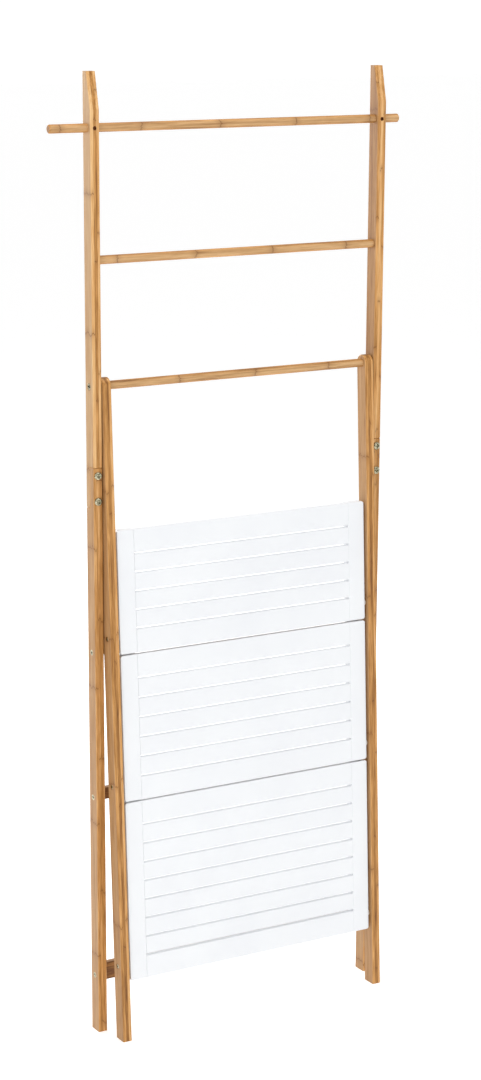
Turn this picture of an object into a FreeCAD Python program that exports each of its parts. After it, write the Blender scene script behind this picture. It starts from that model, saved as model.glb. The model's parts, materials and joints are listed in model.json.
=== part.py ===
"""Folding ladder shelf: a tall rail frame, a shorter leg frame pivoted on it and three tilting shelves.

X runs along the rails, Y backwards and Z up. The origin is on the floor, under the middle of the top rail.
The model is folded: each frame leans by rest_half_angle, and the shelves stand up between the legs.
"""

import FreeCAD, Part
import os
from math import cos, radians, tan

import Sketcher
from FreeCAD import Placement, Rotation, Vector

doc = FreeCAD.newDocument("ladder_shelf")

# Driving sizes, in millimetres and degrees. A drop or a rise is measured along a frame from the main pivot.
DRIVING_SIZES = {
    "leg_length": 1175.7,
    "crown_length": 525,
    "top_rail_rise": 433,
    "middle_rail_rise": 213.6,
    "timber_width": 17,
    "timber_depth": 29,
    "timber_round": 2,
    "crown_cut_depth": 14,
    "crown_cut_length": 62,
    "lap_drop": 139,
    "lap_length": 72,
    "lap_bolt_inset": 13.5,
    "lap_seam": 0.4,
    "lap_bevel": 0.9,
    "rail_diameter": 15,
    "rail_seat_depth": 8,
    "rail_end_bevel": 1.5,
    "left_overhang": 69.5,
    "right_overhang": 32.5,
    "rest_half_angle": 1.53,
    "use_half_angle": 7.5,
    "shelf_width": 500,
    "shelf_thickness": 18,
    "shelf_side_gap": 4,
    "shelf_fold_gap": 3,
    "shelf_top_drop": 251.6,
    "upper_shelf_depth": 218.5,
    "middle_shelf_depth": 262.6,
    "lower_shelf_depth": 327.8,
    "upper_shelf_slats": 6,
    "middle_shelf_slats": 7,
    "lower_shelf_slats": 9,
    "shelf_pivot_inset": 29,
    "batten_width": 33,
    "batten_corner": 4,
    "board_round": 1,
    "end_slat_width": 41,
    "slot_width": 3.7,
    "slat_thickness": 10,
    "tongue_thickness": 5,
    "tongue_length": 9,
    "tongue_shoulder": 4,
    "bar_thickness": 12,
    "bar_round": 2,
    "upper_bar_height": 22,
    "middle_bar_height": 22,
    "lower_bar_height": 33,
    "bar_fixing_spread": 11,
    "leg_side_gap": 1,
    "pivot_bolt_diameter": 6,
    "pivot_bolt_grip": 20,
    "pivot_head_diameter": 12,
    "pivot_washer_diameter": 18,
    "shelf_screw_diameter": 5,
    "shelf_screw_grip": 24,
    "shelf_head_diameter": 9,
    "shelf_spacer_diameter": 12,
    "pan_head_height": 2.8,
    "bar_screw_diameter": 4,
    "bar_screw_grip": 28,
    "bar_head_diameter": 10,
    "rail_screw_diameter": 3.5,
    "rail_head_diameter": 7,
    "flat_head_height": 2.6,
    "rail_screw_sink": 1.2,
    "rail_screw_end": 5,
    "lap_bolt_diameter": 6,
    "lap_head_diameter": 14,
    "lap_head_height": 3.4,
    "lap_sleeve_diameter": 8.5,
    "dowel_diameter": 6,
    "dowel_length": 22,
    "running_gap": 0.05,
    "seat_gap": 0.05,
    "moving_gap": 0.3,
}

sheet = doc.addObject("Spreadsheet::Sheet", "sizes")
for row, (alias, number) in enumerate(DRIVING_SIZES.items(), start=1):
    sheet.set(f"A{row}", alias)
    sheet.set(f"B{row}", str(number))
    sheet.setAlias(f"B{row}", alias)
doc.recompute()


def size(alias):
    return float(sheet.get(alias))


# Places that follow from the driving sizes.
lean = size("rest_half_angle")
pivot_height = size("leg_length") * cos(radians(lean))
rail_shift = (size("left_overhang") - size("right_overhang")) / 2
frame_middle = Vector(rail_shift, 0, pivot_height)
OUTER = Placement(frame_middle, Rotation(Vector(1, 0, 0), lean))
INNER = Placement(frame_middle, Rotation(Vector(1, 0, 0), -lean))

half_depth = size("timber_depth") / 2
shelf_half = size("shelf_width") / 2
leg_inner_face = shelf_half + size("shelf_side_gap")
leg_outer_face = leg_inner_face + size("timber_width")
stile_inner_face = leg_outer_face + size("leg_side_gap")
stile_outer_face = stile_inner_face + size("timber_width")
leg_middle = (leg_inner_face + leg_outer_face) / 2
stile_middle = (stile_inner_face + stile_outer_face) / 2
lap_bolt_drops = (
    size("lap_drop") + size("lap_bolt_inset"),
    size("lap_drop") + size("lap_length") - size("lap_bolt_inset"),
)
SIDES = {"left": -1, "right": 1}

# Expressions for sizes that several pieces share.
STILE_CLEAR = "sizes.shelf_width + 2 * (sizes.shelf_side_gap + sizes.timber_width + sizes.leg_side_gap)"
FRAME_WIDTH = f"{STILE_CLEAR} + 2 * sizes.timber_width"
FRONT = "-sizes.timber_depth / 2"
BACK = "sizes.timber_depth / 2"
FOOT_SLOPE = "sizes.timber_depth / 2 * tan(sizes.rest_half_angle)"


def shelf_levels():
    """Drop of each shelf's pivot axis below the main pivot, and of the top of the bar that it rests on."""
    level = radians(size("use_half_angle"))
    underside = size("shelf_thickness") / 2 + size("moving_gap")
    bar_offset = underside / cos(level) + size("bar_thickness") / 2 * tan(level)
    edge = size("shelf_top_drop")
    levels = {}
    for name in ("upper", "middle", "lower"):
        pivot = edge + size(f"{name}_shelf_depth") - size("shelf_pivot_inset")
        bar_middle = pivot + bar_offset + size(f"{name}_bar_height") / 2
        levels[name] = {"pivot": pivot, "bar": bar_middle}
        edge += size(f"{name}_shelf_depth") + size("shelf_fold_gap")
    return levels


LEVELS = shelf_levels()

# Directions that primitives along Z are turned to.
ALONG_X = Rotation(Vector(0, 0, 1), Vector(1, 0, 0))
AGAINST_X = Rotation(Vector(0, 0, 1), Vector(-1, 0, 0))
ALONG_Y = Rotation(Vector(0, 0, 1), Vector(0, 1, 0))
AGAINST_Y = Rotation(Vector(0, 0, 1), Vector(0, -1, 0))


def inward(side):
    """Direction along X from a side's outer face to the middle of the shelf."""
    return ALONG_X if side < 0 else AGAINST_X


def beside(across):
    """Placement at a distance along the rails from the middle of a frame."""
    return Placement(Vector(across, 0, 0), Rotation())


def new_body(name, place):
    body = doc.addObject("PartDesign::Body", name)
    body.Label = name
    body.Placement = place
    return body


def new_sketch(body, role):
    sketch = body.newObject("Sketcher::SketchObject", f"{body.Name}_sketch")
    plane = next(item for item in body.Origin.OriginFeatures if item.Role == role)
    sketch.AttachmentSupport = (plane, "")
    sketch.MapMode = "FlatFace"
    return sketch


def drive(sketch, kind, geometry, point, expression):
    """Bind one distance of a sketch point from the sketch's origin, or an arc's radius, to the sheet."""
    if kind == "Radius":
        index = sketch.addConstraint(Sketcher.Constraint(kind, geometry, 1.0))
    else:
        index = sketch.addConstraint(Sketcher.Constraint(kind, -1, 1, geometry, point, 1.0))
    sketch.setExpression(f"Constraints[{index}]", expression)


def draw_outline(sketch, corners):
    """Closed polygon whose corners are pairs of expressions."""
    count = len(corners)
    for index in range(count):
        start = Vector(index, index * index, 0)
        end = Vector(index + 1, (index + 1) ** 2, 0)
        sketch.addGeometry(Part.LineSegment(start, end), False)
    for index, (across, up) in enumerate(corners):
        sketch.addConstraint(Sketcher.Constraint("Coincident", index, 1, (index - 1) % count, 2))
        drive(sketch, "DistanceX", index, 1, across)
        drive(sketch, "DistanceY", index, 1, up)


def draw_rectangle(sketch, across, up):
    """Rectangle centred on the sketch's origin."""
    corners = (("-", "-"), ("+", "-"), ("+", "+"), ("-", "+"))
    draw_outline(sketch, [(f"{a}({across}) / 2", f"{b}({up}) / 2") for a, b in corners])


def draw_disc(sketch, diameter):
    sketch.addGeometry(Part.Circle(Vector(0, 0, 0), Vector(0, 0, 1), 1.0), False)
    sketch.addConstraint(Sketcher.Constraint("Coincident", 0, 3, -1, 1))
    drive(sketch, "Radius", 0, 0, f"({diameter}) / 2")


def pad(body, sketch, length):
    feature = body.newObject("PartDesign::Pad", f"{body.Name}_pad")
    feature.Profile = sketch
    feature.Midplane = True
    feature.Refine = True
    feature.setExpression("Length", length)
    doc.recompute()
    return feature


def pocket_through(body, sketch):
    feature = body.newObject("PartDesign::Pocket", f"{body.Name}_pocket")
    feature.Profile = sketch
    feature.Type = "ThroughAll"
    feature.Midplane = True
    doc.recompute()
    return feature


def edge_names(shape, wanted):
    return [f"Edge{number}" for number, edge in enumerate(shape.Edges, start=1) if wanted(edge)]


def round_edges(body, radius, wanted, kind="Fillet", setting="Radius"):
    """Fillet or chamfer the edges of the body's last feature that the test picks out."""
    base = body.Tip
    feature = body.newObject(f"PartDesign::{kind}", f"{body.Name}_{kind.lower()}")
    feature.Base = (base, edge_names(base.Shape, wanted))
    feature.setExpression(setting, radius)
    doc.recompute()
    return feature


def runs_along(axis):
    """Test for straight edges within some 20 degrees of an axis."""

    def wanted(edge):
        if edge.Curve.TypeId != "Part::GeomLine":
            return False
        return abs(edge.tangentAt(edge.FirstParameter).dot(axis)) > cos(radians(20))

    return wanted


def bore(body, start, direction, diameter, length):
    feature = body.newObject("PartDesign::SubtractiveCylinder", f"{body.Name}_bore")
    feature.setExpression("Radius", f"({diameter}) / 2")
    feature.setExpression("Height", length)
    feature.Placement = Placement(start, direction)
    doc.recompute()
    return feature


def countersink(body, start, direction, head, shank):
    """Conical seat of a flat screw head, its wide end at the start point."""
    feature = body.newObject("PartDesign::SubtractiveCone", f"{body.Name}_countersink")
    feature.setExpression("Radius1", f"sizes.{head} / 2 + sizes.seat_gap")
    feature.setExpression("Radius2", f"sizes.{shank} / 2 + sizes.seat_gap")
    feature.setExpression("Height", "sizes.flat_head_height")
    feature.Placement = Placement(start, direction)
    doc.recompute()
    return feature


def seated(diameter):
    """Diameter of a hole that a glued or screwed piece fits."""
    return f"sizes.{diameter} + 2 * sizes.seat_gap"


def running(diameter):
    """Diameter of a hole that a shaft turns in."""
    return f"sizes.{diameter} + 2 * sizes.running_gap"


# Outer frame: each stile is two lengths of bamboo, halved over each other and bolted.


def draw_side(body, corners):
    """Outline in the plane across the frame: distance backwards, height above the main pivot."""
    sketch = new_sketch(body, "YZ_Plane")
    draw_outline(sketch, corners)
    return sketch


def bevel_lap(body, ends):
    """Bevel the edges of the halved face and of the ends that meet at the lap: it leaves a fine V there."""
    near = size("lap_seam") / 10

    def wanted(edge):
        box = edge.BoundBox
        middle = edge.CenterOfMass
        on_face = box.YLength < near and abs(middle.y) < near
        if on_face and box.ZLength > near:
            return min(abs(box.ZMax - end) for end in ends) < near
        return not on_face and box.ZLength < near and min(abs(middle.z - end) for end in ends) < near

    round_edges(body, "sizes.lap_bevel", wanted, "Chamfer", "Size")


# Recesses in which screw heads turn freely.
PIVOT_RECESS_DIAMETER = "sizes.pivot_head_diameter + 2 * sizes.moving_gap"
PIVOT_RECESS_DEPTH = "sizes.pan_head_height + 2 * sizes.moving_gap"
SHELF_RECESS_DIAMETER = "sizes.shelf_head_diameter + 2 * sizes.moving_gap"
SHELF_RECESS_DEPTH = "sizes.pan_head_height + 2 * sizes.moving_gap"


def upper_stile(side_name, side):
    body = new_body(f"upper_stile_{side_name}", OUTER.multiply(beside(side * stile_middle)))
    foot = "-sizes.lap_drop - sizes.lap_length"
    outline = [
        (FRONT, foot),
        (BACK, foot),
        (BACK, "sizes.crown_length"),
        (f"{FRONT} + sizes.crown_cut_depth", "sizes.crown_length"),
        (FRONT, "sizes.crown_length - sizes.crown_cut_length"),
    ]
    pad(body, draw_side(body, outline), "sizes.timber_width")
    round_edges(body, "sizes.timber_round", runs_along(Vector(0, 0, 1)))
    beyond = "sizes.timber_depth"
    halving = [
        (f"-{beyond}", f"{foot} - {beyond}"),
        ("0", f"{foot} - {beyond}"),
        ("0", "-sizes.lap_drop"),
        (f"-{beyond}", "-sizes.lap_drop"),
    ]
    pocket_through(body, draw_side(body, halving))
    lap_drop = size("lap_drop")
    bevel_lap(body, (-lap_drop, -lap_drop - size("lap_length")))
    half = size("timber_width") / 2
    outer = -half if side < 0 else half
    through = Vector(outer, 0, size("top_rail_rise"))
    bore(body, through, inward(side), seated("rail_diameter"), "sizes.timber_width")
    blind = Vector(-outer, 0, size("middle_rail_rise"))
    bore(body, blind, inward(-side), seated("rail_diameter"), "sizes.rail_seat_depth")
    bore(body, Vector(outer, 0, 0), inward(side), running("pivot_bolt_diameter"), "sizes.timber_width")
    bore(body, Vector(outer, 0, 0), inward(side), PIVOT_RECESS_DIAMETER, PIVOT_RECESS_DEPTH)
    for drop in lap_bolt_drops:
        bore(body, Vector(0, 0, -drop), ALONG_Y, seated("lap_sleeve_diameter"), "sizes.timber_depth")
    screw_start = Vector(0, -half_depth, size("top_rail_rise"))
    sink = size("rail_screw_sink")
    screw_reach = "sizes.timber_depth - sizes.rail_screw_end"
    bore(body, screw_start, ALONG_Y, seated("rail_screw_diameter"), screw_reach)
    bore(body, screw_start, ALONG_Y, seated("rail_head_diameter"), "sizes.rail_screw_sink")
    countersink(body, screw_start + Vector(0, sink, 0), ALONG_Y, "rail_head_diameter", "rail_screw_diameter")
    return body


def lower_stile(side_name, side):
    body = new_body(f"lower_stile_{side_name}", OUTER.multiply(beside(side * stile_middle)))
    outline = [
        (FRONT, f"-sizes.leg_length + {FOOT_SLOPE}"),
        (BACK, f"-sizes.leg_length - {FOOT_SLOPE}"),
        (BACK, "-sizes.lap_drop - sizes.lap_seam"),
        (FRONT, "-sizes.lap_drop - sizes.lap_seam"),
    ]
    pad(body, draw_side(body, outline), "sizes.timber_width")
    round_edges(body, "sizes.timber_round", runs_along(Vector(0, 0, 1)))
    shoulder = "-sizes.lap_drop - sizes.lap_length - sizes.lap_seam"
    halving = [
        ("0", shoulder),
        ("sizes.timber_depth", shoulder),
        ("sizes.timber_depth", "0"),
        ("0", "0"),
    ]
    pocket_through(body, draw_side(body, halving))
    lap_top = -size("lap_drop") - size("lap_seam")
    bevel_lap(body, (lap_top, lap_top - size("lap_length")))
    half = size("timber_width") / 2
    outer = -half if side < 0 else half
    for drop in lap_bolt_drops:
        start = Vector(0, -half_depth, -drop)
        bore(body, start, ALONG_Y, seated("lap_bolt_diameter"), "sizes.timber_depth / 2")
    for level in LEVELS.values():
        screw = Vector(outer, 0, -level["bar"] - size("bar_fixing_spread") / 2)
        bore(body, screw, inward(side), seated("bar_screw_diameter"), "sizes.timber_width")
        countersink(body, screw, inward(side), "bar_head_diameter", "bar_screw_diameter")
        dowel = Vector(-outer, 0, -level["bar"] + size("bar_fixing_spread") / 2)
        bore(body, dowel, inward(-side), seated("dowel_diameter"), "sizes.dowel_length / 2")
    return body


def is_circle(edge):
    return edge.Curve.TypeId == "Part::GeomCircle"


def dowel_rail(name, place, length):
    """Round bamboo rail along X, its ends bevelled."""
    body = new_body(name, place)
    sketch = new_sketch(body, "YZ_Plane")
    draw_disc(sketch, "sizes.rail_diameter")
    pad(body, sketch, length)
    round_edges(body, "sizes.rail_end_bevel", is_circle, "Chamfer", "Size")
    return body


def top_rail():
    place = OUTER.multiply(Placement(Vector(-rail_shift, 0, size("top_rail_rise")), Rotation()))
    body = dowel_rail("top_rail", place, f"{FRAME_WIDTH} + sizes.left_overhang + sizes.right_overhang")
    radius = size("rail_diameter") / 2
    for side in SIDES.values():
        start = Vector(side * stile_middle + rail_shift, -radius, 0)
        bore(body, start, ALONG_Y, seated("rail_screw_diameter"), "sizes.rail_diameter")
    return body


def middle_rail():
    place = OUTER.multiply(Placement(Vector(0, 0, size("middle_rail_rise")), Rotation()))
    return dowel_rail("middle_rail", place, f"{STILE_CLEAR} + 2 * sizes.rail_seat_depth")


def rest_bar(name, level):
    """Flat bar between the lower stiles, held at each end by a screw and a dowel above it."""
    place = OUTER.multiply(Placement(Vector(0, 0, -level["bar"]), Rotation()))
    body = new_body(f"{name}_rest_bar", place)
    sketch = new_sketch(body, "YZ_Plane")
    draw_rectangle(sketch, "sizes.bar_thickness", f"sizes.{name}_bar_height")
    pad(body, sketch, STILE_CLEAR)
    round_edges(body, "sizes.bar_round", runs_along(Vector(1, 0, 0)))
    spread = size("bar_fixing_spread") / 2
    for side in SIDES.values():
        end = side * stile_inner_face
        bore(body, Vector(end, 0, -spread), inward(side), seated("bar_screw_diameter"), "sizes.bar_screw_grip")
        bore(body, Vector(end, 0, spread), inward(side), seated("dowel_diameter"), "sizes.dowel_length / 2")
    return body


# Inner frame: two legs with round tops, tied by the pivot rail.


def leg(side_name, side):
    body = new_body(f"leg_{side_name}", INNER.multiply(beside(side * leg_middle)))
    outline = [
        (FRONT, f"-sizes.leg_length - {FOOT_SLOPE}"),
        (BACK, f"-sizes.leg_length + {FOOT_SLOPE}"),
        (BACK, "0"),
        (FRONT, "0"),
    ]
    pad(body, draw_side(body, outline), "sizes.timber_width")
    crown = new_sketch(body, "YZ_Plane")
    draw_disc(crown, "sizes.timber_depth")
    pad(body, crown, "sizes.timber_width")
    foot_height = -size("leg_length") + half_depth
    half = size("timber_width") / 2

    def side_edge(edge):
        box = edge.BoundBox
        return box.XLength < half and box.ZMax > foot_height

    round_edges(body, "sizes.timber_round", side_edge)
    outer = -half if side < 0 else half
    bore(body, Vector(outer, 0, 0), inward(side), seated("pivot_bolt_diameter"), "sizes.timber_width")
    bore(body, Vector(-outer, 0, 0), inward(-side), seated("rail_diameter"), "sizes.rail_seat_depth")
    for level in LEVELS.values():
        start = Vector(outer, 0, -level["pivot"])
        bore(body, start, inward(side), running("shelf_screw_diameter"), "sizes.timber_width")
        bore(body, start, inward(side), SHELF_RECESS_DIAMETER, SHELF_RECESS_DEPTH)
    return body


def pivot_rail():
    length = "sizes.shelf_width + 2 * (sizes.shelf_side_gap + sizes.rail_seat_depth)"
    body = dowel_rail("pivot_rail", INNER.copy(), length)
    for side in SIDES.values():
        start = Vector(side * (leg_inner_face + size("rail_seat_depth")), 0, 0)
        reach = "sizes.rail_seat_depth + sizes.pivot_bolt_grip"
        bore(body, start, inward(side), seated("pivot_bolt_diameter"), reach)
    return body


# Shelves: two battens and a row of slats, each tongued into a socket in both battens.


# The slats are thinner than the battens and flush with the face that is on top in use.
slat_middle = (size("slat_thickness") - size("shelf_thickness")) / 2


def shelf_place(name):
    return INNER.multiply(Placement(Vector(0, 0, -LEVELS[name]["pivot"]), Rotation()))


def slat_rows(name):
    """Each slat's width, as a number and as an expression, and its middle above the shelf's pivot."""
    count = int(size(f"{name}_shelf_slats"))
    end = size("end_slat_width")
    slot = size("slot_width")
    inner = (size(f"{name}_shelf_depth") - 2 * end - (count - 1) * slot) / (count - 2)
    slots = f"(sizes.{name}_shelf_slats - 1) * sizes.slot_width"
    between_ends = f"sizes.{name}_shelf_depth - 2 * sizes.end_slat_width - {slots}"
    foot = -size("shelf_pivot_inset")
    rows = []
    for number in range(count):
        is_end = number in (0, count - 1)
        width = end if is_end else inner
        expression = "sizes.end_slat_width" if is_end else f"({between_ends}) / (sizes.{name}_shelf_slats - 2)"
        rows.append({"width": width, "expression": expression, "middle": foot + width / 2})
        foot += width + slot
    return rows


def mortise(body, side, row, height):
    """Socket in a batten's inner edge for one slat's tongue."""
    depth = size("tongue_length") + size("seat_gap")
    inner_edge = -side * size("batten_width") / 2
    start = inner_edge - depth if side < 0 else inner_edge
    front = slat_middle - size("tongue_thickness") / 2 - size("seat_gap")
    foot = row["middle"] - height - row["width"] / 2 + size("tongue_shoulder") - size("seat_gap")
    socket = body.newObject("PartDesign::SubtractiveBox", f"{body.Name}_mortise")
    socket.setExpression("Length", "sizes.tongue_length + sizes.seat_gap")
    socket.setExpression("Width", seated("tongue_thickness"))
    socket.setExpression("Height", f"{row['expression']} - 2 * sizes.tongue_shoulder + 2 * sizes.seat_gap")
    socket.Placement = Placement(Vector(start, front, foot), Rotation())
    doc.recompute()


def batten(name, side_name, side):
    depth = f"sizes.{name}_shelf_depth"
    height = size(f"{name}_shelf_depth") / 2 - size("shelf_pivot_inset")
    across = shelf_half - size("batten_width") / 2
    place = shelf_place(name).multiply(Placement(Vector(side * across, 0, height), Rotation()))
    body = new_body(f"{name}_shelf_batten_{side_name}", place)
    sketch = new_sketch(body, "XZ_Plane")
    draw_rectangle(sketch, "sizes.batten_width", depth)
    pad(body, sketch, "sizes.shelf_thickness")
    through_board = runs_along(Vector(0, 1, 0))
    half_thickness = size("shelf_thickness") / 2

    def outer_corner(edge):
        return through_board(edge) and edge.CenterOfMass.x * side > 0

    def face_edge(edge):
        return edge.BoundBox.YLength < half_thickness

    round_edges(body, "sizes.batten_corner", outer_corner)
    round_edges(body, "sizes.board_round", face_edge)
    for row in slat_rows(name):
        mortise(body, side, row, height)
    start = Vector(side * size("batten_width") / 2, 0, -height)
    bore(body, start, inward(side), seated("shelf_screw_diameter"), "sizes.shelf_screw_grip")
    return body


def slat(name, number, row):
    place = shelf_place(name).multiply(Placement(Vector(0, slat_middle, row["middle"]), Rotation()))
    body = new_body(f"{name}_shelf_slat_{number}", place)
    sketch = new_sketch(body, "YZ_Plane")
    draw_rectangle(sketch, "sizes.slat_thickness", row["expression"])
    pad(body, sketch, "sizes.shelf_width - 2 * sizes.batten_width")
    round_edges(body, "sizes.board_round", runs_along(Vector(1, 0, 0)))
    tongue = new_sketch(body, "YZ_Plane")
    draw_rectangle(tongue, "sizes.tongue_thickness", f"{row['expression']} - 2 * sizes.tongue_shoulder")
    pad(body, tongue, "sizes.shelf_width - 2 * sizes.batten_width + 2 * sizes.tongue_length")
    return body


# Fasteners: built along Z from the outer face of the head, then turned to where they go.


def primitive(kind, place, **expressions):
    item = doc.addObject(f"Part::{kind}", kind.lower())
    for setting, expression in expressions.items():
        item.setExpression(setting, expression)
    item.Placement = place
    return item


def boolean(kind, base, tool):
    item = doc.addObject(f"Part::{kind}", kind.lower())
    item.Base = base
    item.Tool = tool
    return item


# The driver's cross, as shares of the head's diameter.
CROSS_LENGTH = 0.58
CROSS_WIDTH = 0.17
CROSS_DEPTH = 0.2


def cross_recess(head, place, width):
    """Cut the driver's cross into a head."""
    for turn in (0, 90):
        arm = Placement(Vector(0, 0, 0), Rotation(Vector(0, 0, 1), turn))
        half_length = size(width) * CROSS_LENGTH / 2
        half_width = size(width) * CROSS_WIDTH / 2
        corner = Placement(Vector(-half_length, -half_width, 0), Rotation())
        box = primitive(
            "Box",
            place.multiply(arm).multiply(corner),
            Length=f"sizes.{width} * {CROSS_LENGTH}",
            Width=f"sizes.{width} * {CROSS_WIDTH}",
            Height=f"sizes.{width} * {CROSS_DEPTH}",
        )
        head = boolean("Cut", head, box)
    return head


# How much of a head's height its rounding takes up.
FLAT_DOMING = 0.3
HALF_DOMING = 0.5
FULL_DOMING = 0.8


def pan_screw(place, head, height, shank, length, doming):
    """Screw or bolt whose head is rounded over the given share of its height."""
    disc = primitive("Cylinder", place, Radius=f"sizes.{head}_diameter / 2", Height=f"sizes.{height}_height")
    doc.recompute()
    thickness = size(f"{height}_height")
    rims = []
    for number, edge in enumerate(disc.Shape.Edges, start=1):
        if is_circle(edge) and (edge.Curve.Center - place.Base).Length < thickness / 2:
            rims.append((number, thickness * doming, thickness * doming))
    dome = doc.addObject("Part::Fillet", "dome")
    dome.Base = disc
    dome.Edges = rims
    rod = primitive("Cylinder", place, Radius=f"sizes.{shank}_diameter / 2", Height=length)
    return cross_recess(boolean("Fuse", dome, rod), place, f"{head}_diameter")


def flat_screw(place, head, shank, length):
    """Countersunk wood screw."""
    cone = primitive(
        "Cone",
        place,
        Radius1=f"sizes.{head} / 2",
        Radius2=f"sizes.{shank} / 2",
        Height="sizes.flat_head_height",
    )
    rod = primitive("Cylinder", place, Radius=f"sizes.{shank} / 2", Height=length)
    return cross_recess(boolean("Fuse", cone, rod), place, head)


def ring(place, outer, inner, length):
    tube = primitive("Cylinder", place, Radius=f"({outer}) / 2", Height=length)
    hole = primitive("Cylinder", place, Radius=f"({inner}) / 2", Height=length)
    return boolean("Cut", tube, hole)


def group(name, place, items):
    """Identical pieces as one sub-part of separate solids."""
    item = doc.addObject("Part::Compound", name)
    item.Label = name
    item.Links = items
    item.Placement = place
    return item


def frame_hardware():
    pivots = []
    washers = []
    bar_screws = []
    bar_dowels = []
    rail_screws = []
    lap_bolts = []
    lap_sleeves = []
    for side in SIDES.values():
        turn = inward(side)
        head = Placement(Vector(side * stile_outer_face, 0, 0), turn)
        reach = "2 * sizes.timber_width + sizes.leg_side_gap + sizes.pivot_bolt_grip - sizes.moving_gap"
        pivots.append(pan_screw(head, "pivot_head", "pan_head", "pivot_bolt", reach, FLAT_DOMING))
        washer = Placement(Vector(side * (stile_inner_face - size("running_gap")), 0, 0), turn)
        washer_length = "sizes.leg_side_gap - sizes.running_gap"
        washers.append(ring(washer, "sizes.pivot_washer_diameter", seated("pivot_bolt_diameter"), washer_length))
        front = Vector(side * stile_middle, -half_depth, size("top_rail_rise"))
        sunk = Placement(front + Vector(0, size("rail_screw_sink"), 0), ALONG_Y)
        rail_reach = "sizes.timber_depth - sizes.rail_screw_sink - sizes.rail_screw_end - sizes.seat_gap"
        rail_screws.append(flat_screw(sunk, "rail_head_diameter", "rail_screw_diameter", rail_reach))
        for level in LEVELS.values():
            low = -level["bar"] - size("bar_fixing_spread") / 2
            high = -level["bar"] + size("bar_fixing_spread") / 2
            bar_reach = "sizes.timber_width + sizes.bar_screw_grip - 2 * sizes.seat_gap"
            screw = Placement(Vector(side * stile_outer_face, 0, low), turn)
            bar_screws.append(flat_screw(screw, "bar_head_diameter", "bar_screw_diameter", bar_reach))
            middle = size("dowel_length") / 2 - size("seat_gap")
            dowel = Placement(Vector(side * (stile_inner_face + middle), 0, high), turn)
            dowel_reach = "sizes.dowel_length - 2 * sizes.seat_gap"
            bar_dowels.append(primitive("Cylinder", dowel, Radius="sizes.dowel_diameter / 2", Height=dowel_reach))
        for drop in lap_bolt_drops:
            face = half_depth + size("lap_head_height")
            bolt = Placement(Vector(side * stile_middle, -face, -drop), ALONG_Y)
            bolt_reach = "sizes.lap_head_height + sizes.timber_depth - 2 * sizes.seat_gap"
            lap_bolts.append(pan_screw(bolt, "lap_head", "lap_head", "lap_bolt", bolt_reach, FULL_DOMING))
            nut = Placement(Vector(side * stile_middle, face, -drop), AGAINST_Y)
            lap_sleeves.append(sleeve_nut(nut))
    group("frame_pivot_bolts", INNER, pivots)
    group("frame_pivot_washers", INNER, washers)
    group("top_rail_screws", OUTER, rail_screws)
    group("rest_bar_screws", OUTER, bar_screws)
    group("rest_bar_dowels", OUTER, bar_dowels)
    group("lap_bolts", OUTER, lap_bolts)
    group("lap_sleeve_nuts", OUTER, lap_sleeves)


def sleeve_nut(place):
    """Domed head with a threaded sleeve that takes the end of a lap bolt."""
    reach = "sizes.lap_head_height + sizes.timber_depth / 2 - sizes.seat_gap"
    blank = pan_screw(place, "lap_head", "lap_head", "lap_sleeve", reach, FULL_DOMING)
    start = place.multiply(Placement(Vector(0, 0, size("lap_head_height")), Rotation()))
    thread = primitive(
        "Cylinder",
        start,
        Radius="sizes.lap_bolt_diameter / 2 + sizes.seat_gap",
        Height="sizes.timber_depth / 2",
    )
    return boolean("Cut", blank, thread)


def shelf_hardware(name):
    screws = []
    spacers = []
    for side in SIDES.values():
        turn = inward(side)
        head = Placement(Vector(side * (leg_outer_face - size("moving_gap")), 0, 0), turn)
        reach = "sizes.timber_width + sizes.shelf_side_gap + sizes.shelf_screw_grip - 2 * sizes.moving_gap"
        screws.append(pan_screw(head, "shelf_head", "pan_head", "shelf_screw", reach, HALF_DOMING))
        spacer = Placement(Vector(side * (leg_inner_face - size("moving_gap")), 0, 0), turn)
        length = "sizes.shelf_side_gap - sizes.moving_gap"
        spacers.append(ring(spacer, "sizes.shelf_spacer_diameter", seated("shelf_screw_diameter"), length))
    group(f"{name}_shelf_pivot_screws", shelf_place(name), screws)
    group(f"{name}_shelf_spacers", shelf_place(name), spacers)


for side_name, side in SIDES.items():
    upper_stile(side_name, side)
    lower_stile(side_name, side)
    leg(side_name, side)
top_rail()
middle_rail()
pivot_rail()
frame_hardware()
for name, level in LEVELS.items():
    rest_bar(name, level)
    for side_name, side in SIDES.items():
        batten(name, side_name, side)
    for number, row in enumerate(slat_rows(name), start=1):
        slat(name, number, row)
    shelf_hardware(name)
doc.recompute()


def check_document():
    """Stop if any object failed, or if a cut took nothing away."""
    for item in doc.Objects:
        if "Invalid" in item.State or "Error" in item.State:
            raise RuntimeError(f"{item.Name} failed: {item.State}")
        base = getattr(item, "BaseFeature", None)
        if base and item.TypeId.startswith(("PartDesign::Subtractive", "PartDesign::Pocket")):
            if item.Shape.Volume > base.Shape.Volume - 1:
                raise RuntimeError(f"{item.Name} cuts nothing")


def sub_parts():
    kinds = ("PartDesign::Body", "Part::Compound")
    return [item for item in doc.Objects if item.TypeId in kinds]


check_document()
os.makedirs("parts", exist_ok=True)
for item in sub_parts():
    if item.Shape.isNull() or not item.Shape.isValid():
        raise RuntimeError(f"{item.Label} has no valid shape")
for item in sub_parts():
    item.Shape.exportStep(f"parts/{item.Label}.step")
print(len(sub_parts()), "sub-parts")
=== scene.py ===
import json
import math

import bpy
from mathutils import Matrix, Vector

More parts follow.
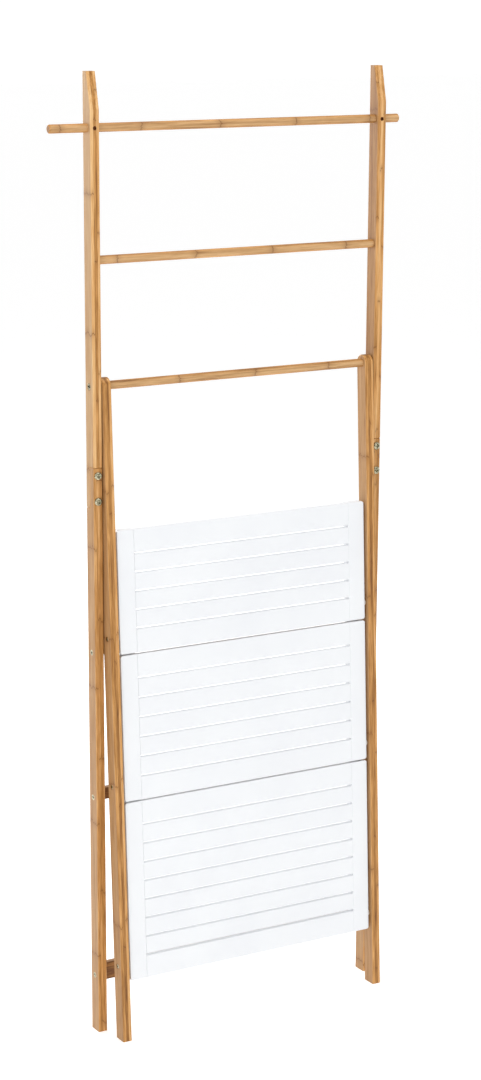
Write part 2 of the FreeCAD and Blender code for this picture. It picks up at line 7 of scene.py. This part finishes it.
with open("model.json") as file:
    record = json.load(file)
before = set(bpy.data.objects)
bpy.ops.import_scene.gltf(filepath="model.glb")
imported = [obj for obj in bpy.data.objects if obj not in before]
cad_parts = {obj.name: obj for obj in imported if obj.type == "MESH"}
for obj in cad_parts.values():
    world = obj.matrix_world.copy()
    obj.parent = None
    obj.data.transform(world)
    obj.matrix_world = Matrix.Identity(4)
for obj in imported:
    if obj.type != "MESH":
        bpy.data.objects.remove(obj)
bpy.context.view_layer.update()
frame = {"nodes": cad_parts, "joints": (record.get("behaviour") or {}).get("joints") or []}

# Stiles and legs.
# Square-edged lengths of laminated bamboo, three strips glued side by side with their broad faces outwards,
# planed, rounded along the edges and finished with clear satin lacquer.

MM = 0.001
LEAN = math.radians(1.53)
FRAME_PIVOT = next(joint for joint in frame["joints"] if joint["name"] == "frame_fold")["pos_m"]
STRIP_WIDTH = 17 / 3
KNUCKLE_HALF = 1.8
STAIN_HALF = 14
EDGE_TONES = [(0.0, "#6A411C"), (1.0, "#E4BC86"), (0.32, "#A27036"), (0.62, "#CB9557")]
BROAD_TONES = [(0.0, "#8E653D"), (1.0, "#DDBE92"), (0.32, "#B78F60"), (0.62, "#CCA678")]


def shade(hex_colour):
    """Linear colour of an sRGB hex value."""
    channels = [int(hex_colour[start:start + 2], 16) / 255 for start in (1, 3, 5)]
    linear = [c / 12.92 if c <= 0.04045 else ((c + 0.055) / 1.055) ** 2.4 for c in channels]
    return (*linear, 1.0)


def add(tree, kind, feeds=None, **settings):
    """Add a shader node. Feeds give its sockets numbers, colours, or the outputs linked to them."""
    made = tree.nodes.new(f"ShaderNode{kind}")
    for setting, value in settings.items():
        setattr(made, setting, value)
    for socket, value in (feeds or {}).items():
        if isinstance(value, bpy.types.NodeSocket):
            tree.links.new(value, made.inputs[socket])
        else:
            made.inputs[socket].default_value = value
    return made


def new_finish(name):
    """Empty material with its node tree and shader."""
    material = bpy.data.materials.new(name)
    material.use_nodes = True
    tree = material.node_tree
    return material, tree, tree.nodes["Principled BSDF"]


def tones(tree, factor, stops):
    """Colour ramp through hex colours at the given places."""
    ramp = add(tree, "ValToRGB", {"Fac": factor})
    elements = ramp.color_ramp.elements
    for index, (place, colour) in enumerate(stops):
        element = elements[index] if index < 2 else elements.new(place)
        element.position = place
        element.color = shade(colour)
    return ramp.outputs["Color"]


def bamboo(name, turn, end_axis, strip_axis, strip_start, broad_axis, node_gap, seed, paleness_and_painted_shade=0.0):
    """Laminated bamboo, lacquered. The eye sees straight fibres, strips of unlike tone, brown knuckles
    where the stem had its nodes, darker sawn ends and a soft satin sheen. Coordinates are millimetres from
    the main pivot, turned so that the grain runs along Z."""
    material, tree, shader = new_finish(name)
    spot = add(tree, "TexCoord")
    grain = add(
        tree,
        "Mapping",
        {"Vector": spot.outputs["Object"], "Location": FRAME_PIVOT, "Rotation": turn, "Scale": (MM, MM, MM)},
        vector_type="TEXTURE",
    )
    place = add(tree, "SeparateXYZ", {"Vector": grain.outputs[0]})
    strip_place = add(tree, "Math", {0: place.outputs[strip_axis], 1: strip_start}, operation="SUBTRACT")
    strip_count = add(tree, "Math", {0: strip_place.outputs[0], 1: STRIP_WIDTH}, operation="DIVIDE")
    strip = add(tree, "Math", {0: strip_count.outputs[0]}, operation="FLOOR")
    strip_seed = add(tree, "Math", {0: strip.outputs[0], 1: seed}, operation="ADD")
    chance = add(tree, "TexWhiteNoise", {"W": strip_seed.outputs[0]}, noise_dimensions="1D")

    # Fibres are about 0.3 mm wide; they are drawn at 0.8 mm so that they show.
    fibre_lie = add(tree, "Mapping", {"Vector": grain.outputs[0], "Scale": (1.25, 1.25, 0.03)})
    fibre = add(
        tree,
        "TexNoise",
        {"Vector": fibre_lie.outputs[0], "Scale": 1.0, "Detail": 4.0, "Roughness": 0.6},
    )
    # Streaks of darker fibre bundles, about 5 mm wide and 120 mm long.
    streak_lie = add(tree, "Mapping", {"Vector": grain.outputs[0], "Scale": (0.22, 0.16, 0.008)})
    streak = add(
        tree,
        "TexNoise",
        {"Vector": streak_lie.outputs[0], "Scale": 1.0, "Detail": 5.0, "Roughness": 0.68, "Distortion": 0.3},
    )

    # Tone: each strip's own, shifted by the paleness, the streaks and the fibres. On the rest bars the
    # paleness is painted shade.
    strip_share = add(
        tree, "Math", {0: chance.outputs["Value"], 1: 0.5, 2: paleness_and_painted_shade - 0.75}, operation="MULTIPLY_ADD"
    )
    streak_share = add(
        tree,
        "Math",
        {0: streak.outputs[0], 1: 1.45, 2: strip_share.outputs[0]},
        operation="MULTIPLY_ADD",
    )
    tone = add(
        tree,
        "Math",
        {0: fibre.outputs[0], 1: 0.85, 2: streak_share.outputs[0]},
        operation="MULTIPLY_ADD",
    )
    edge_colour = tones(tree, tone.outputs[0], EDGE_TONES)

    # The broad faces of the strips are paler than their edges.
    broad_colour = tones(tree, tone.outputs[0], BROAD_TONES)
    facing = add(tree, "SeparateXYZ", {"Vector": spot.outputs["Normal"]})
    broad = add(tree, "Math", {0: facing.outputs[broad_axis]}, operation="ABSOLUTE")
    broad_share = add(
        tree,
        "MapRange",
        {"Value": broad.outputs[0], "From Min": 0.6, "From Max": 0.95, "To Max": 0.85},
    )
    faced = add(
        tree,
        "Mix",
        {"Factor": broad_share.outputs[0], "A": edge_colour, "B": broad_colour},
        data_type="RGBA",
    )

    # The cut ends soak up lacquer and go darker.
    end_on = add(tree, "Math", {0: facing.outputs[end_axis]}, operation="ABSOLUTE")
    end_share = add(
        tree,
        "MapRange",
        {"Value": end_on.outputs[0], "From Min": 0.85, "From Max": 0.98, "To Max": 0.7},
    )
    sawn = add(
        tree,
        "Mix",
        {"Factor": end_share.outputs[0], "A": faced.outputs["Result"], "B": shade("#8B6440")},
        data_type="RGBA",
    )

    # Knuckles: a thin brown arc across each strip at its own heights, in a wider brownish stain.
    phase = add(tree, "Math", {0: chance.outputs["Value"], 1: 7.0}, operation="MULTIPLY")
    along = add(
        tree,
        "Math",
        {0: place.outputs["Z"], 1: 1 / node_gap, 2: phase.outputs[0]},
        operation="MULTIPLY_ADD",
    )
    waver = add(
        tree,
        "Math",
        {0: streak.outputs[0], 1: 0.12, 2: along.outputs[0]},
        operation="MULTIPLY_ADD",
    )
    swing = add(tree, "Math", {0: waver.outputs[0], 1: 0.5}, operation="PINGPONG")
    knuckle = add(
        tree,
        "MapRange",
        {"Value": swing.outputs[0], "From Max": KNUCKLE_HALF / node_gap, "To Min": 0.6, "To Max": 0.0},
        interpolation_type="SMOOTHSTEP",
    )
    stain = add(
        tree,
        "MapRange",
        {"Value": swing.outputs[0], "From Max": STAIN_HALF / node_gap, "To Min": 0.45, "To Max": 0.0},
        interpolation_type="SMOOTHSTEP",
    )
    stain_patch = add(tree, "Math", {0: stain.outputs[0], 1: fibre.outputs[0]}, operation="MULTIPLY")
    darkening = add(
        tree,
        "Math",
        {0: knuckle.outputs[0], 1: stain_patch.outputs[0]},
        operation="ADD",
        use_clamp=True,
    )
    marked = add(
        tree,
        "Mix",
        {"Factor": darkening.outputs[0], "A": sawn.outputs["Result"], "B": shade("#6E421C")},
        data_type="RGBA",
    )

    # Glue lines are hairlines; they are drawn 0.4 mm wide.
    line = add(tree, "Math", {0: strip_count.outputs[0], 1: 0.5}, operation="PINGPONG")
    glue = add(tree, "MapRange", {"Value": line.outputs[0], "From Max": 0.08, "To Min": 0.4, "To Max": 0.0})
    lined = add(
        tree,
        "Mix",
        {"Factor": glue.outputs[0], "A": marked.outputs["Result"], "B": shade("#7A4A20")},
        data_type="RGBA",
    )
    tree.links.new(lined.outputs["Result"], shader.inputs["Base Color"])

    rough = add(tree, "MapRange", {"Value": fibre.outputs[0], "To Min": 0.36, "To Max": 0.56})
    tree.links.new(rough.outputs[0], shader.inputs["Roughness"])
    rise = add(
        tree,
        "Math",
        {0: darkening.outputs[0], 1: 0.8, 2: fibre.outputs[0]},
        operation="MULTIPLY_ADD",
    )
    bump = add(tree, "Bump", {"Height": rise.outputs[0], "Strength": 0.3, "Distance": 0.15 * MM})
    tree.links.new(bump.outputs[0], shader.inputs["Normal"])
    shader.inputs["IOR"].default_value = 1.45
    shader.inputs["Specular IOR Level"].default_value = 0.35
    return material


def finish(node, material):
    """Give a carried-over piece its real finish."""
    piece = frame["nodes"][node]
    piece.data.materials.clear()
    piece.data.materials.append(material)


# Each length is sawn from its own plank, so no two have quite the same tone. The numbers are the lean, the
# edge of the first strip, the spacing of the knuckles, the seed and the paleness.
UPRIGHTS = {
    "upper_stile_left": (LEAN, -289.0, 235.0, 3.0, 0.0),
    "upper_stile_right": (LEAN, 272.0, 235.0, 5.0, -0.14),
    "lower_stile_left": (LEAN, -289.0, 250.0, 7.0, -0.18),
    "lower_stile_right": (LEAN, 272.0, 250.0, 9.0, -0.1),
    "leg_left": (-LEAN, -271.0, 260.0, 11.0, -0.18),
    "leg_right": (-LEAN, 254.0, 260.0, 13.0, -0.32),
}
for upright, (lean, strip_start, node_gap, seed, paleness_and_painted_shade) in UPRIGHTS.items():
    plank_name = f"laminated_bamboo_{upright}"
    plank = bamboo(plank_name, (lean, 0, 0), "Z", "X", strip_start, "X", node_gap, seed, paleness_and_painted_shade)
    finish(upright, plank)

# Rails.
# Round rods turned from laminated bamboo, with the fibres along them and the ends bevelled, lacquered with
# the frames. The top one goes through both stiles; the others are glued into blind holes.

QUARTER = math.pi / 2
rail_bamboo = bamboo("turned_bamboo_rail", (0, QUARTER, 0), "X", "Y", -8.0, "Y", 150.0, 23.0, -0.1)
for rail in ("top_rail", "middle_rail", "pivot_rail"):
    finish(rail, rail_bamboo)

# Rest bars.
# Flat bamboo bars across the lower stiles, planed with softened edges; the open shelves lie on them.

# Their bamboo is painted darker than the rest (the -0.45). With broad faces set to Z, their fronts take the
# darker edge tones. Both are painted shade for the shade they sit in between the stiles and the legs.
bar_bamboo_painted_shade = bamboo("planed_bamboo_bar_painted_shade", (0, QUARTER, 0), "X", "Y", -30.0, "Z", 190.0, 37.0, -0.45)
for level in ("upper", "middle", "lower"):
    finish(f"{level}_rest_bar", bar_bamboo_painted_shade)

# Dowels.
# Beech pins glued into the bars and stiles, out of sight once the frame is together.

beech, tree, shader = new_finish("turned_beech_dowel")
spot = add(tree, "TexCoord")
along = add(tree, "Mapping", {"Vector": spot.outputs["Object"], "Scale": (40.0, 900.0, 900.0)})
fleck = add(tree, "TexNoise", {"Vector": along.outputs[0], "Scale": 1.0, "Detail": 3.0})
colour = tones(tree, fleck.outputs[0], [(0.3, "#C79F74"), (0.7, "#E0C29B")])
tree.links.new(colour, shader.inputs["Base Color"])
shader.inputs["Roughness"].default_value = 0.6
bump = add(tree, "Bump", {"Height": fleck.outputs[0], "Strength": 0.2, "Distance": 0.1 * MM})
tree.links.new(bump.outputs[0], shader.inputs["Normal"])
finish("rest_bar_dowels", beech)

# Screws, bolts and nuts.
# Steel wire, cold-headed with a driver's cross. Most are zinc plated: bright and slightly warm, with the
# plating a little uneven. The screws through the top rail are coloured dark brown, so that they look like
# brown dots.


def plated_steel(name, thin, thick):
    """Plated steel. The eye sees a sharp metal gloss that changes in patches of about 2 mm."""
    material, tree, shader = new_finish(name)
    spot = add(tree, "TexCoord")
    patches = add(tree, "TexNoise", {"Vector": spot.outputs["Object"], "Scale": 420.0, "Detail": 4.0})
    colour = tones(tree, patches.outputs[0], [(0.35, thin), (0.65, thick)])
    tree.links.new(colour, shader.inputs["Base Color"])
    dull = add(tree, "MapRange", {"Value": patches.outputs[0], "To Min": 0.16, "To Max": 0.34})
    tree.links.new(dull.outputs[0], shader.inputs["Roughness"])
    shader.inputs["Metallic"].default_value = 1.0
    bump = add(tree, "Bump", {"Height": patches.outputs[0], "Strength": 0.15, "Distance": 0.05 * MM})
    tree.links.new(bump.outputs[0], shader.inputs["Normal"])
    return material


zinc = plated_steel("zinc_plated_steel", "#5C543A", "#D6D0B2")
fixings = ["lap_bolts", "lap_sleeve_nuts", "rest_bar_screws", "frame_pivot_bolts"]
for level in ("upper", "middle", "lower"):
    fixings.append(f"{level}_shelf_pivot_screws")
for fixing in fixings:
    finish(fixing, zinc)
finish("top_rail_screws", plated_steel("dark_brown_steel", "#3A2013", "#7A4A2C"))

# Shelf battens and slats.
# Solid board, tongued and grooved, sprayed white all over with satin lacquer. The spray leaves a faint
# orange-peel texture, and the slats differ very slightly in whiteness.

lacquer, tree, shader = new_finish("sprayed_white_lacquer")
spot = add(tree, "TexCoord")
drift = add(tree, "TexNoise", {"Vector": spot.outputs["Object"], "Scale": 9.0, "Detail": 2.0})
colour = tones(tree, drift.outputs[0], [(0.3, "#E2E4E7"), (0.7, "#E6E8EA")])
tree.links.new(colour, shader.inputs["Base Color"])
# Orange peel is about 1.5 mm across.
peel = add(tree, "TexNoise", {"Vector": spot.outputs["Object"], "Scale": 650.0, "Detail": 1.0})
sheen = add(tree, "MapRange", {"Value": drift.outputs[0], "To Min": 0.32, "To Max": 0.44})
tree.links.new(sheen.outputs[0], shader.inputs["Roughness"])
bump = add(tree, "Bump", {"Height": peel.outputs[0], "Strength": 0.12, "Distance": 0.06 * MM})
tree.links.new(bump.outputs[0], shader.inputs["Normal"])
shader.inputs["IOR"].default_value = 1.5
for piece in frame["nodes"]:
    if "_shelf_batten" in piece or "_shelf_slat" in piece:
        finish(piece, lacquer)

# Washers and spacers.
# Thin moulded nylon rings that keep the legs off the stiles and the shelves off the legs.

nylon, tree, shader = new_finish("moulded_nylon")
spot = add(tree, "TexCoord")
cloud = add(tree, "TexNoise", {"Vector": spot.outputs["Object"], "Scale": 300.0, "Detail": 2.0})
colour = tones(tree, cloud.outputs[0], [(0.3, "#D9D8D2"), (0.7, "#E8E7E2")])
tree.links.new(colour, shader.inputs["Base Color"])
shader.inputs["Roughness"].default_value = 0.5
bump = add(tree, "Bump", {"Height": cloud.outputs[0], "Strength": 0.1, "Distance": 0.05 * MM})
tree.links.new(bump.outputs[0], shader.inputs["Normal"])
rings = ["frame_pivot_washers"]
for level in ("upper", "middle", "lower"):
    rings.append(f"{level}_shelf_spacers")
for ring in rings:
    finish(ring, nylon)

# Studio.
# A pale floor, soft white light from all round, and three large soft lamps: at the upper left, overhead and
# behind. The one behind lights the slots between the slats.

floor_mesh = bpy.data.meshes.new("floor")
FLOOR_HALF = 60.0
floor_mesh.from_pydata(
    [(FLOOR_HALF * x, FLOOR_HALF * y, 0) for x, y in ((-1, -1), (1, -1), (1, 1), (-1, 1))],
    [],
    [(0, 1, 2, 3)],
)
floor = bpy.data.objects.new("floor", floor_mesh)
bpy.context.scene.collection.objects.link(floor)
paint, tree, shader = new_finish("matt_white_floor_paint")
shader.inputs["Base Color"].default_value = shade("#F4F4F4")
shader.inputs["Roughness"].default_value = 0.8
shader.inputs["Emission Color"].default_value = shade("#FFFFFF")
shader.inputs["Emission Strength"].default_value = 0.36
floor_mesh.materials.append(paint)

world = bpy.data.worlds.new("studio")
world.use_nodes = True
heaven = add(world.node_tree, "TexCoord")
height = add(world.node_tree, "SeparateXYZ", {"Vector": heaven.outputs["Generated"]})
glow = add(
    world.node_tree,
    "MapRange",
    {"Value": height.outputs["Z"], "From Max": 0.9, "To Min": 1.05, "To Max": 0.55},
)
world.node_tree.links.new(glow.outputs[0], world.node_tree.nodes["Background"].inputs["Strength"])
world.node_tree.nodes["Background"].inputs["Color"].default_value = shade("#FFFFFF")
bpy.context.scene.world = world
bpy.context.scene.view_settings.view_transform = "Standard"


def soft_lamp(name, place, target, side, power):
    """Square studio lamp that the camera doesn't see."""
    lamp = bpy.data.lights.new(name, "AREA")
    lamp.shape = "SQUARE"
    lamp.size = side
    lamp.energy = power
    holder = bpy.data.objects.new(name, lamp)
    holder.location = place
    holder.rotation_euler = (Vector(target) - Vector(place)).to_track_quat("-Z", "Y").to_euler()
    holder.visible_camera = False
    bpy.context.scene.collection.objects.link(holder)


soft_lamp("key_lamp", (-3.4, -2.2, 2.6), (0, 0, 0.9), 1.6, 34.0)
soft_lamp("top_lamp", (0.2, -0.4, 4.4), (0, 0, 0), 2.6, 60.0)
soft_lamp("back_lamp", (-0.25, 3.7, 2.0), (0, 0, 0.5), 1.6, 80.0)

# Camera.
# At eye height, to the left of the shelf and looking down a little.

YAW = math.radians(29.22)
PITCH = math.radians(12.18)
ROLL = math.radians(-0.5)
sight = Vector((math.sin(YAW) * math.cos(PITCH), math.cos(YAW) * math.cos(PITCH), -math.sin(PITCH)))
level_right = Vector((math.cos(YAW), -math.sin(YAW), 0))
level_up = level_right.cross(sight)
right = level_right * math.cos(ROLL) + level_up * math.sin(ROLL)
up = level_up * math.cos(ROLL) - level_right * math.sin(ROLL)
camera_data = bpy.data.cameras.new("camera")
camera_data.lens = 80.66
camera_data.clip_end = 200.0
camera = bpy.data.objects.new("camera", camera_data)
turn = Matrix((right, up, -sight)).transposed().to_4x4()
camera.matrix_world = Matrix.Translation(Vector((-2.0299, -3.6663, 1.7838))) @ turn
bpy.context.scene.collection.objects.link(camera)
bpy.context.scene.camera = camera
